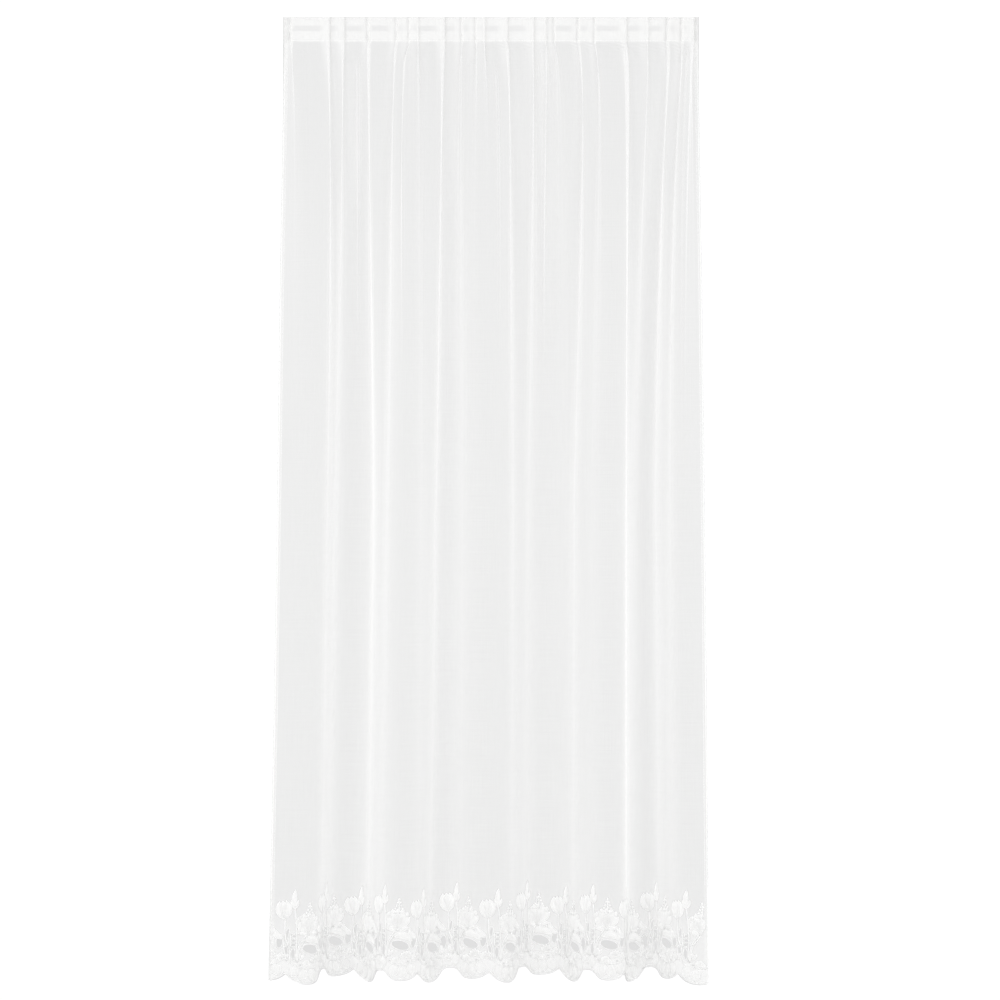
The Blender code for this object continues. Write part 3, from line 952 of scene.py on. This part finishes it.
class Paint:
    """A material whose nodes are made by one method."""

    def __init__(self, name):
        self.material = bpy.data.materials.new(name)
        self.material.use_nodes = True
        self.tree = self.material.node_tree
        self.tree.nodes.clear()

    def node(self, kind, settings=None, values=None, output=0):
        """One node with its settings, and with values or links in its sockets."""
        made = self.tree.nodes.new(kind)
        for name, setting in (settings or {}).items():
            setattr(made, name, setting)
        for name, value in (values or {}).items():
            if isinstance(value, Reading):
                self.tree.links.new(value.socket, made.inputs[name])
            else:
                made.inputs[name].default_value = value
        return Reading(self, made.outputs[output]) if len(made.outputs) else None

    def flat_place(self):
        """Places along and across the piece's own UV map, in metres."""
        pattern = self.node("ShaderNodeUVMap", {"uv_map": "UVMap"})
        return tuple(self.node("ShaderNodeSeparateXYZ", {}, {0: pattern}, output) for output in (0, 1))

    def noise(self, first, second, closeness):
        """Cloudy values from about 0 to 1 over two places, as close as the two numbers say."""
        place = self.node("ShaderNodeCombineXYZ", {}, {0: first * closeness[0], 1: second * closeness[1]})
        return self.node("ShaderNodeTexNoise", {}, {"Vector": place, "Scale": 1.0, "Detail": 2.0})

    def step(self, value, low, high):
        """A soft step from 0 at the low value to 1 at the high one."""
        settings = {"interpolation_type": "SMOOTHSTEP"}
        return self.node("ShaderNodeMapRange", settings, {"Value": value, 1: low, 2: high})

    def between(self, factor, first, second):
        """A colour between two others."""
        settings = {"data_type": "RGBA"}
        return self.node("ShaderNodeMix", settings, {0: factor, 6: tuple(first), 7: tuple(second)}, 2)

    def cloth_share(self, label):
        """One of the shares that the cloth keeps at its points."""
        return self.node("ShaderNodeAttribute", {"attribute_name": label}, {}, "Fac")

    def bumps(self, height, distance, strength):
        """A normal that leans as small bumps of this height would lean it."""
        return self.node("ShaderNodeBump", {}, {"Height": height, "Distance": distance, "Strength": strength})

    def surfaced(self, shader):
        """The material, with this shader as its surface."""
        self.node("ShaderNodeOutputMaterial", {}, {"Surface": shader})
        return self.material

    def thread(self, colour, roughness, cover, normal, sheen):
        """The material of thread that covers this share of the surface."""
        values = {
            "Base Color": colour,
            "Roughness": roughness,
            "Normal": normal,
            "Alpha": cover,
            "Sheen Weight": sheen,
            "Sheen Roughness": 0.45,
            "Specular IOR Level": 0.25,
        }
        return self.surfaced(self.node("ShaderNodeBsdfPrincipled", {}, values))


def seen_cover(paint, cover):
    """Sheer net hides more of what is behind it when it is seen aslant, as tinted glass does."""
    aslant = 1 - paint.node("ShaderNodeLayerWeight", {}, {"Blend": 0.5}, "Facing")
    return 1 - (1 - cover) ** (1 / aslant.at_least(EDGE_ON))


def pleated_cover(paint, cover, sizes):
    """More of what is behind is hidden where the pleats press several layers together."""
    return 1 - (1 - cover) * (1 - sizes.pleat_cover * paint.cloth_share("pleat"))


def net_material(sizes):
    """Fine voile: a plain weave with thicker threads here and there, and closer lace by the hem."""
    paint = Paint("sheer_net")
    across, down = paint.flat_place()
    weave = 0.5 * across.wave(sizes.thread_pitch) + 0.5 * down.wave(sizes.thread_pitch)
    upright = paint.noise(across, down, UPRIGHT_SLUBS)
    level = paint.noise(across, down, LEVEL_SLUBS)
    cloudy = paint.noise(across, down, NET_CLOUDS)
    slubs = 0.5 * upright + 0.5 * level
    lace = paint.cloth_share("lace")
    mesh_lines = (across + down).wave(MESH_PITCH) * (across - down).wave(MESH_PITCH)
    plain = sizes.plain_cover * (0.90 + 0.10 * weave + 0.20 * (slubs - 0.5) + 0.10 * (cloudy - 0.5))
    close = sizes.lace_cover * (0.96 - 0.28 * mesh_lines)
    cover = pleated_cover(paint, plain * (1 - lace) + close * lace, sizes)
    # Darker between the threads of the weave, which is painted shade, and darker or lighter at random with
    # the uneven threads, which is their own tone.
    shade = paint.between(0.5 * slubs + 0.5 * weave, sizes.net_painted_shade_and_tone, sizes.net_colour)
    rough = 0.72 + 0.16 * slubs
    normal = paint.bumps(0.6 * weave + 0.4 * slubs, distance=0.0002, strength=0.35)
    return paint.thread(shade, rough, seen_cover(paint, cover), normal, sheen=0.35)


def tape_material(sizes):
    """Woven pleating tape: two close bands with an open strip between them."""
    paint = Paint("pleating_tape_weave")
    across, down = paint.flat_place()
    ribs = across.wave(RIB_PITCH)
    rows = down.wave(ROW_PITCH)
    upper = 1 - paint.step(down, sizes.upper_band - BAND_FADE, sizes.upper_band)
    lower = paint.step(down, sizes.lower_band, sizes.lower_band + BAND_FADE)
    band = upper + lower
    slubs = paint.noise(across, down, TAPE_SLUBS)
    close = sizes.band_cover * (0.88 + 0.08 * ribs + 0.12 * (slubs - 0.5))
    open_strip = sizes.strip_cover * (0.6 + 0.8 * ribs)
    cover = pleated_cover(paint, close * band + open_strip * (1 - band), sizes)
    # Darker between the ribs, which is painted shade, and darker or lighter at random with the uneven
    # threads, which is their own tone.
    shade = paint.between(0.6 * ribs + 0.4 * slubs, sizes.tape_painted_shade_and_tone, sizes.tape_colour)
    normal = paint.bumps(0.6 * ribs + 0.4 * rows, distance=0.0001, strength=0.5)
    return paint.thread(shade, 0.78 + 0.1 * slubs, seen_cover(paint, cover), normal, sheen=0.2)


def filling_material(sizes):
    """Close rows of satin thread inside the petals and leaves."""
    paint = Paint("lace_filling")
    along, beside = paint.flat_place()
    rows = (along + SATIN_SLANT * abs(beside)).wave(sizes.satin_pitch)
    uneven = paint.noise(along, beside, FILLING_CLOUDS)
    cover = sizes.filling_cover * (0.82 + 0.22 * rows + 0.20 * (uneven - 0.5))
    # Darker between the rows of satin thread, which is painted shade, and darker or lighter at random, which
    # is the thread's own tone.
    shade = paint.between(0.6 * rows + 0.4 * uneven, sizes.lace_painted_shade_and_tone, sizes.lace_colour)
    normal = paint.bumps(rows, distance=0.0001, strength=0.6)
    return paint.thread(shade, 0.62 + 0.2 * uneven, seen_cover(paint, cover), normal, sheen=0.3)


def cord_material(sizes):
    """Twisted lace thread."""
    paint = Paint("lace_cord")
    along, around = paint.flat_place()
    twist = (along + TWIST_SLANT * around).wave(sizes.twist_pitch)
    uneven = paint.noise(along, around, CORD_CLOUDS)
    # Darker between the turns of the cord, which is painted shade, and darker or lighter at random, which is
    # the thread's own tone.
    shade = paint.between(0.6 * twist + 0.4 * uneven, sizes.lace_painted_shade_and_tone, sizes.lace_colour)
    normal = paint.bumps(twist, distance=0.0001, strength=0.6)
    return paint.thread(shade, 0.60 + 0.2 * uneven, 0.92 + 0.08 * twist, normal, sheen=0.3)


def lace_materials(sizes):
    """The filling and the cord, in the order that the raised work counts them."""
    return [filling_material(sizes), cord_material(sizes)]


def floor_material(colour):
    """Matt paint, very slightly cloudy."""
    paint = Paint("pale_floor")
    place = paint.node("ShaderNodeTexCoord", {}, {}, "Object")
    cloudy = paint.node("ShaderNodeTexNoise", {}, {"Vector": place, "Scale": 1.5, "Detail": 2.0})
    shade = paint.between(cloudy, [FLOOR_SHADE * part for part in colour[:3]] + [1.0], colour)
    return paint.surfaced(paint.node("ShaderNodeBsdfDiffuse", {}, {"Color": shade, "Roughness": 1.0}))


def glow_material(name, strength):
    """A board that glows evenly: the white backdrop, or the grey painted shadow of the curtain."""
    paint = Paint(name)
    return paint.surfaced(paint.node("ShaderNodeEmission", {}, {"Strength": strength}))


# What a user can change


def length(name, description, default):
    return bpy.props.FloatProperty(name=name, description=description, default=default, unit="LENGTH")


def power(name, description, default):
    return bpy.props.FloatProperty(name=name, description=description, default=default, unit="POWER")


def fraction(name, description, default):
    return bpy.props.FloatProperty(
        name=name, description=description, default=default, min=0.0, max=1.0, subtype="FACTOR"
    )


def tint(name, description, default):
    return bpy.props.FloatVectorProperty(
        name=name, description=description, default=default, size=4, min=0.0, max=1.0, subtype="COLOR"
    )


class NetCurtainSizes(bpy.types.PropertyGroup):
    """Sizes, covers and colours of the curtain."""

    thread_pitch: length("Thread pitch", "From one thread of the net to the next", 0.0005)
    plain_cover: fraction("Plain cover", "How much of the plain net is thread", 0.36)
    pleat_cover: fraction("Pleat cover", "How much more the pressed pleats of the heading hide", 0.5)
    lace_cover: fraction("Lace cover", "How much of the lace ground is thread", 0.74)
    # The net's colour is its thread in the light. Its darker tint is painted shade between the threads, with
    # some tone that differs at random.
    net_colour: tint("Net colour", "Threads of the net in the light", (0.98, 0.98, 0.975, 1.0))
    net_painted_shade_and_tone: tint("Net shade", "Threads of the net between the others", (0.93, 0.93, 0.93, 1.0))
    upper_band: length("Upper band", "Depth of the tape's upper close band", 0.0225)
    lower_band: length("Lower band", "Where the tape's lower close band starts", 0.0355)
    band_cover: fraction("Band cover", "How much of the tape's bands is thread", 0.68)
    strip_cover: fraction("Strip cover", "How much of the tape's open strip is thread", 0.12)
    # The tape's colour is its thread in the light. Its darker tint is painted shade between the ribs, with
    # some tone that differs at random.
    tape_colour: tint("Tape colour", "Tape in the light", (0.99, 0.99, 0.985, 1.0))
    tape_painted_shade_and_tone: tint("Tape shade", "Tape between its ribs", (0.95, 0.95, 0.945, 1.0))
    filling_cover: fraction("Filling cover", "How much of the petals is thread", 0.80)
    # The lace's colour is its thread in the light. Its darker tint is painted shade between the rows and
    # turns, with some tone that differs at random.
    lace_colour: tint("Lace colour", "Lace thread in the light", (0.98, 0.98, 0.975, 1.0))
    lace_painted_shade_and_tone: tint("Lace shade", "Lace thread between its rows", (0.94, 0.94, 0.94, 1.0))
    lace_lift: length("Lace lift", "How far the lace work stands off the net", 0.0005)
    lace_relief: length("Lace relief", "How far a petal swells in its middle", 0.0016)
    cord_radius: length("Cord radius", "Half the thickness of the lace cords", 0.0010)
    satin_pitch: length("Satin pitch", "From one row of satin thread to the next", 0.0011)
    twist_pitch: length("Twist pitch", "From one turn of a cord to the next", 0.0016)
    stitch_length: length("Stitch length", "Length of one sewn stitch", 0.0026)
    stitch_pitch: length("Stitch pitch", "From one stitch to the next", 0.0042)


class NetCurtainStage(bpy.types.PropertyGroup):
    """The surround, the floor, the lights and the camera."""

    floor_level: length("Floor level", "Height of the floor under the curtain's top", -2.75)
    floor_width: length("Floor width", "Width of the floor", 4.4)
    camera_distance: length("Camera distance", "From the curtain to the camera", 12.1)
    view_width: length("View width", "Width that the picture spans at the curtain", 2.538)
    view_across: length("View across", "Middle of the picture, across", 0.0228)
    view_level: length("View level", "Middle of the picture, up", -1.226)
    board_distance: length("Board distance", "From the curtain to the board far behind it", 30.0)
    light_distance: length("Light distance", "From the curtain to each soft light", 3.8)
    front_power: power("Front power", "Each light in front", 34.5)
    side_power: power("Side power", "Each light at the sides", 18.0)
    back_power: power("Back power", "Each light behind", 26.0)
    surround: fraction("Surround", "Even grey light from all round", 0.745)
    floor_colour: tint("Floor colour", "Pale floor", (0.72, 0.72, 0.715, 1.0))


# One operator for each piece


class NETCURTAIN_OT_panel(bpy.types.Operator):
    """Hang the sheer net, with its side hems and the ground of its lace border"""

    bl_idname = "netcurtain.panel"
    bl_label = "Net panel"

    def execute(self, context):
        work = NeedleWork(context)
        rows = heights_of(NET_LEVELS)
        across = np.array([cloth.columns(down) for down in rows])
        work.add_grid(points_of(across, rows[:, None], 0.0))
        add_border(work, across[-1])
        add_side_hem(work, from_left=True)
        add_side_hem(work, from_left=False)
        piece = work.hang("net_panel", [net_material(work.sizes)])
        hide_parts("panel")
        return {"FINISHED"}


class NETCURTAIN_OT_tape(bpy.types.Operator):
    """Sew the pleating tape behind the heading, folded with the net"""

    bl_idname = "netcurtain.tape"
    bl_label = "Pleating tape"

    def execute(self, context):
        work = NeedleWork(context)
        rows = np.linspace(TAPE_TOP, HEADING, TAPE_ROWS)
        columns = np.unique(np.clip(cloth.columns(HEADING / 2), TAPE_INSET, FLAT_WIDTH - TAPE_INSET))
        work.add_grid(points_of(columns, rows[:, None], -TAPE_BACK))
        piece = work.hang("pleating_tape", [tape_material(work.sizes)])
        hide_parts("heading_tape")
        return {"FINISHED"}


class NETCURTAIN_OT_flowers(bpy.types.Operator):
    """Work the roses, tulips, buds and berries of the border in raised thread"""

    bl_idname = "netcurtain.flowers"
    bl_label = "Lace flowers"

    def execute(self, context):
        work = NeedleWork(context)
        berry = modelled_knot(BERRY, BERRY, BERRY_HEIGHT)
        for middle, raised in scallops():
            for flower in (ROSE, TULIP, BUD):
                for layer, petal in enumerate(flower):
                    add_leaf(work, petal, middle, raised, layer=min(layer, LAST_LAYER))
            for along, up in BERRIES:
                across = middle + along
                if clear_of_sides(across, BERRY_MARGIN):
                    add_knot(work, berry, across, DROP - up - raised, 0.0, work.sizes.lace_lift, kind=1)
        work.hang("lace_flowers", lace_materials(work.sizes))
        return {"FINISHED"}


class NETCURTAIN_OT_leaves(bpy.types.Operator):
    """Work the leaves, the ribbed fans, and the petals and leaves along the scallops"""

    bl_idname = "netcurtain.leaves"
    bl_label = "Lace leaves"

    def execute(self, context):
        work = NeedleWork(context)
        for middle, raised in scallops():
            for leaf in GREENERY:
                add_leaf(work, leaf, middle, raised)
            for fan in FANS:
                for lean in np.linspace(-fan.spread, fan.spread, fan.ribs):
                    rib = Leaf(fan.along, fan.up, fan.long, fan.wide, lean, 0.0, RIB_FULL)
                    add_leaf(work, rib, middle, raised)
            self.add_band(work, middle)
        work.hang("lace_leaves", lace_materials(work.sizes))
        return {"FINISHED"}

    def add_band(self, work, middle):
        """Petals that stand on one scallop's edge, and leaves that lean both ways along the vine."""
        for number in range(BAND_LEAVES):
            along = (number - (BAND_LEAVES - 1) / 2) * BAND_STEP
            before, rise, after = hem_rise(middle + along + SLOPE_SPAN * np.array([-0.5, 0.0, 0.5]))
            lean = BAND_LEAN * (after - before) / SLOPE_SPAN
            edge = EDGE_LEAF._replace(along=along, up=EDGE_LEAF.up + rise, lean=lean)
            add_leaf(work, edge, middle, 0.0)
            turn = VINE_LEAF.lean if number % 2 else -VINE_LEAF.lean
            vine = VINE_LEAF._replace(along=along, up=VINE_LEAF.up + rise, lean=lean + turn)
            add_leaf(work, vine, middle, 0.0)


class NETCURTAIN_OT_stems(bpy.types.Operator):
    """Lay the stems, the ladder bars and the cords round every gap"""

    bl_idname = "netcurtain.stems"
    bl_label = "Lace stems"

    def execute(self, context):
        work = NeedleWork(context)
        radius = work.sizes.cord_radius
        lift = work.sizes.lace_lift + radius
        for middle, raised in scallops():
            for stem in STEMS:
                path = [(middle + along, DROP - up - raised) for along, up in stem]
                if within_cloth(path, CORD_MARGIN):
                    add_cord(work, smooth_path(path), radius * STEM_CORD, lift)
            for up in BARS:
                level = DROP - up - raised
                path = np.linspace((middle + BAR_LEFT, level), (middle + BAR_RIGHT, level), BAR_POINTS)
                if within_cloth(path, CORD_MARGIN):
                    add_cord(work, path, radius * BAR_CORD, lift)
        for ring in lace_gaps():
            add_cord(work, np.concatenate([ring, ring[:1]]), radius * GAP_CORD, THREAD_LIFT, closed=True)
        work.hang("lace_stems", lace_materials(work.sizes))
        return {"FINISHED"}


class NETCURTAIN_OT_hem(bpy.types.Operator):
    """Bind the scalloped edge with its cords, and lay the vine above it"""

    bl_idname = "netcurtain.hem"
    bl_label = "Scalloped hem"

    def execute(self, context):
        work = NeedleWork(context)
        radius = work.sizes.cord_radius
        steps = int(FLAT_WIDTH / HEM_CORD_STEP)
        across = np.linspace(HEM_CORD_END, FLAT_WIDTH - HEM_CORD_END, steps)
        edge = DROP - hem_rise(across)
        for rise, thickness, lift in (
            (radius, EDGE_CORD, EDGE_LIFT),
            (INNER_RISE, INNER_CORD, INNER_LIFT),
            (VINE_RISE, 1.0, work.sizes.lace_lift + VINE_LIFT),
        ):
            add_cord(work, points_of(across, edge - rise), radius * thickness, lift)
        work.hang("hem_cords", lace_materials(work.sizes))
        return {"FINISHED"}


class NETCURTAIN_OT_stitches(bpy.types.Operator):
    """Sew the rows of stitches that hold the tape and the side hems"""

    bl_idname = "netcurtain.stitches"
    bl_label = "Stitches"

    def execute(self, context):
        work = NeedleWork(context)
        stitch = modelled_knot(work.sizes.stitch_length, STITCH_WIDTH, STITCH_HEIGHT)
        for down in TAPE_STITCHES:
            for across in np.arange(STITCH_MARGIN, FLAT_WIDTH - STITCH_MARGIN, work.sizes.stitch_pitch):
                add_knot(work, stitch, across, down, 0.0, THREAD_LIFT)
        for across in (SIDE_STITCHES, FLAT_WIDTH - SIDE_STITCHES):
            for down in np.arange(SIDE_STITCHES_TOP, BORDER_TOP, work.sizes.stitch_pitch):
                add_knot(work, stitch, across, down, pi / 2, THREAD_LIFT)
        work.hang("sewn_stitches", [cord_material(work.sizes)])
        return {"FINISHED"}


class NETCURTAIN_OT_stage(bpy.types.Operator):
    """Set the floor, the boards far behind, the soft lights and the camera"""

    bl_idname = "netcurtain.stage"
    bl_label = "Stage"

    def execute(self, context):
        stage = context.scene.net_curtain_stage
        half = stage.floor_width / 2
        corners = [(side * half, away * half, stage.floor_level) for side, away in SQUARE]
        self.add_plane("floor", corners, floor_material(stage.floor_colour))
        self.add_boards(stage)
        self.add_lights(stage)
        self.add_camera(context.scene, stage)
        world = bpy.data.worlds.new("surround")
        world.use_nodes = True
        background = world.node_tree.nodes["Background"]
        background.inputs["Color"].default_value = (1.0, 1.0, 1.0, 1.0)
        background.inputs["Strength"].default_value = stage.surround
        context.scene.world = world
        context.scene.view_settings.view_transform = "Standard"
        context.scene.cycles.transparent_max_bounces = TRANSPARENT_BOUNCES
        context.scene.cycles.diffuse_bounces = DIFFUSE_BOUNCES
        return {"FINISHED"}

    def add_plane(self, name, corners, material):
        """A flat face of the stage through these corners."""
        mesh = bpy.data.meshes.new(name)
        mesh.from_pydata(corners, [], [tuple(range(len(corners)))])
        mesh.materials.append(material)
        add_object(name, mesh)

    def add_boards(self, stage):
        """A white board far behind, and in front of it a grey one in the curtain's outline, which paints the
        curtain's shadow on the backdrop.
        """
        away = stage.camera_distance + stage.board_distance
        half = WHITE_MARGIN * stage.view_width / 2 * away / stage.camera_distance
        x, y, z = stage.view_across, stage.board_distance, stage.view_level
        corners = [(x + side * half, y, z + up * half) for side, up in SQUARE]
        self.add_plane("white_board", corners, glow_material("white_board", WHITE_GLOW))
        # The grey board glows only as bright as the surround: painted shadow of the curtain, seen through the
        # net.
        shade = []
        for across, depth, up in hung_outline():
            grown = away / (stage.camera_distance + depth)
            shade.append((x + (across - x) * grown * SHADOW_BOARD_WIDTH, y - SHADOW_BOARD_IN_FRONT, z + (up - z) * grown))
        self.add_plane("painted_shadow_board", shade, glow_material("painted_shadow_board", stage.surround))

    def add_lights(self, stage):
        """Soft lights on both sides, in front of the curtain and behind it."""
        away = stage.light_distance
        for name, degrees, group, share in LIGHTS:
            light = bpy.data.lights.new(name, "AREA")
            light.shape = "RECTANGLE"
            light.size = LIGHT_WIDTH
            light.size_y = LIGHT_HEIGHT
            light.energy = getattr(stage, group) * share
            turn = radians(degrees)
            held = add_object(name, light)
            held.location = (away * sin(turn), -away * cos(turn), stage.view_level)
            held.rotation_euler = (pi / 2, 0.0, turn)
            held.visible_camera = False

    def add_camera(self, scene, stage):
        """A camera straight in front, whose picture spans the view width at the curtain."""
        camera = bpy.data.cameras.new("camera")
        camera.sensor_width = SENSOR_WIDTH
        camera.lens = SENSOR_WIDTH * stage.camera_distance / stage.view_width
        camera.clip_end = FAR_CLIP
        held = add_object("camera", camera)
        held.location = (stage.view_across, -stage.camera_distance, stage.view_level)
        held.rotation_euler = (pi / 2, 0.0, 0.0)
        scene.camera = held


class NETCURTAIN_PT_pieces(bpy.types.Panel):
    """The curtain's sizes and pieces"""

    bl_label = "Net curtain"
    bl_idname = "NETCURTAIN_PT_pieces"
    bl_space_type = "VIEW_3D"
    bl_region_type = "UI"
    bl_category = "Curtain"

    def draw(self, context):
        layout = self.layout
        for group in (context.scene.net_curtain_sizes, context.scene.net_curtain_stage):
            for name in group.__annotations__:
                layout.prop(group, name)
        for step in STEPS:
            layout.operator(step.bl_idname)


GROUPS = (NetCurtainSizes, NetCurtainStage)
STEPS = (
    NETCURTAIN_OT_panel,
    NETCURTAIN_OT_tape,
    NETCURTAIN_OT_flowers,
    NETCURTAIN_OT_leaves,
    NETCURTAIN_OT_stems,
    NETCURTAIN_OT_hem,
    NETCURTAIN_OT_stitches,
    NETCURTAIN_OT_stage,
)


def register():
    for kind in GROUPS + STEPS + (NETCURTAIN_PT_pieces,):
        bpy.utils.register_class(kind)
    bpy.types.Scene.net_curtain_sizes = bpy.props.PointerProperty(type=NetCurtainSizes)
    bpy.types.Scene.net_curtain_stage = bpy.props.PointerProperty(type=NetCurtainStage)


def unregister():
    del bpy.types.Scene.net_curtain_sizes
    del bpy.types.Scene.net_curtain_stage
    for kind in reversed(GROUPS + STEPS + (NETCURTAIN_PT_pieces,)):
        bpy.utils.unregister_class(kind)


def main():
    register()
    for step in STEPS:
        group, name = step.bl_idname.split(".")
        getattr(getattr(bpy.ops, group), name)()


if __name__ == "__main__":
    main()
